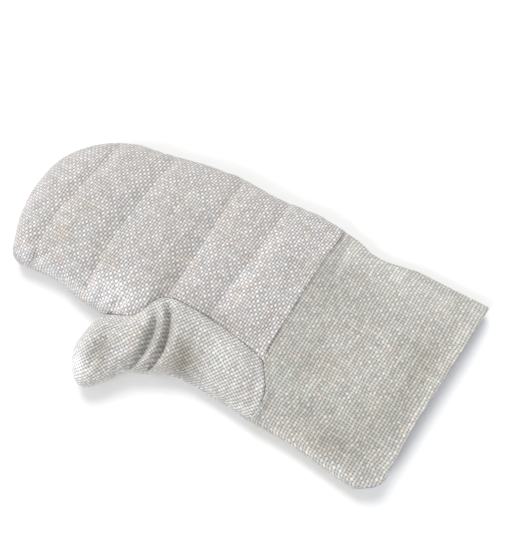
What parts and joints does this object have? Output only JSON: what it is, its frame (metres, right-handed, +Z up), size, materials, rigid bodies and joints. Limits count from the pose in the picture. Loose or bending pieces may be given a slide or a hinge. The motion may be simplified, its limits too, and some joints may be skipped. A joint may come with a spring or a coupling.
{
  "type": "heat resistant mitten",
  "caption": "Left-hand heat resistant mitten lying palm up: quilted palm, inset thumb with deep folds at its bend, and a flat flared cuff with a pale blue lining.",
  "frame": {"origin": "on the surface that the mitten lies on, under the middle of its bounding box", "axes": "+X from the cuff's opening to the fingertips, +Y towards the thumb, +Z up, out of the palm"},
  "size_m": [0.356, 0.2202, 0.0357],
  "materials": {
    "hand_cloth": "coarse off-white plain weave with beige hollows between the yarns, padded, matt",
    "cuff_cloth": "coarse grey-beige plain weave, thinner than the hand's, matt",
    "lining_cloth": "pale blue woven lining, matt"
  },
  "bodies": {
    "root": {"palm": "hand_cloth", "hand_back": "hand_cloth", "thumb": "hand_cloth", "cuff": "cuff_cloth", "cuff_lining": "lining_cloth"}
  },
  "joints": []
}
